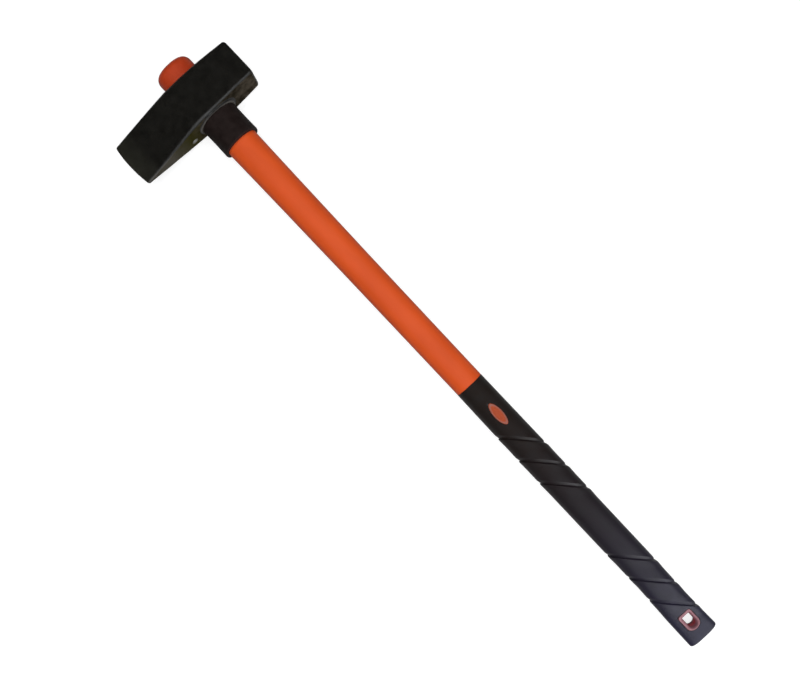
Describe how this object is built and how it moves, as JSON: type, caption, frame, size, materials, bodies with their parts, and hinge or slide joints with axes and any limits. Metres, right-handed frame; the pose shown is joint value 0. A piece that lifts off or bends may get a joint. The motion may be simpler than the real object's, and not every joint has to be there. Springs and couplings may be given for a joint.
{
  "type": "splitting maul",
  "caption": "Long-handled maul for splitting logs: wedge head with a flat striking poll, round knob above the eye, rubber collar, slim shaft and grooved soft grip with a hang hole.",
  "frame": {"origin": "centre of the flat end face of the butt, on the handle's axis", "axes": "the maul lies flat: +X along the handle from head to butt, so the head is at -X; +Y from the blade edge towards the striking poll; +Z out of the cheek that faces up"},
  "size_m": [0.904, 0.1778, 0.047],
  "materials": {
    "head_steel": "satin",
    "epoxy": "gloss",
    "glass_fibre": "satin",
    "orange_plastic": "satin",
    "knob_plastic": "satin",
    "black_rubber": "matte",
    "grip_rubber": "matte",
    "badge_plastic": "satin",
    "liner_plastic": "satin"
  },
  "bodies": {
    "root": {"maul_head": "head_steel", "eye_resin_bond": "epoxy", "fibreglass_core": "glass_fibre", "handle_jacket": "orange_plastic", "top_cap": "knob_plastic", "overstrike_collar": "black_rubber", "grip_sleeve": "grip_rubber", "badge_front": "badge_plastic", "badge_back": "badge_plastic", "hang_hole_liner": "liner_plastic"}
  },
  "joints": []
}
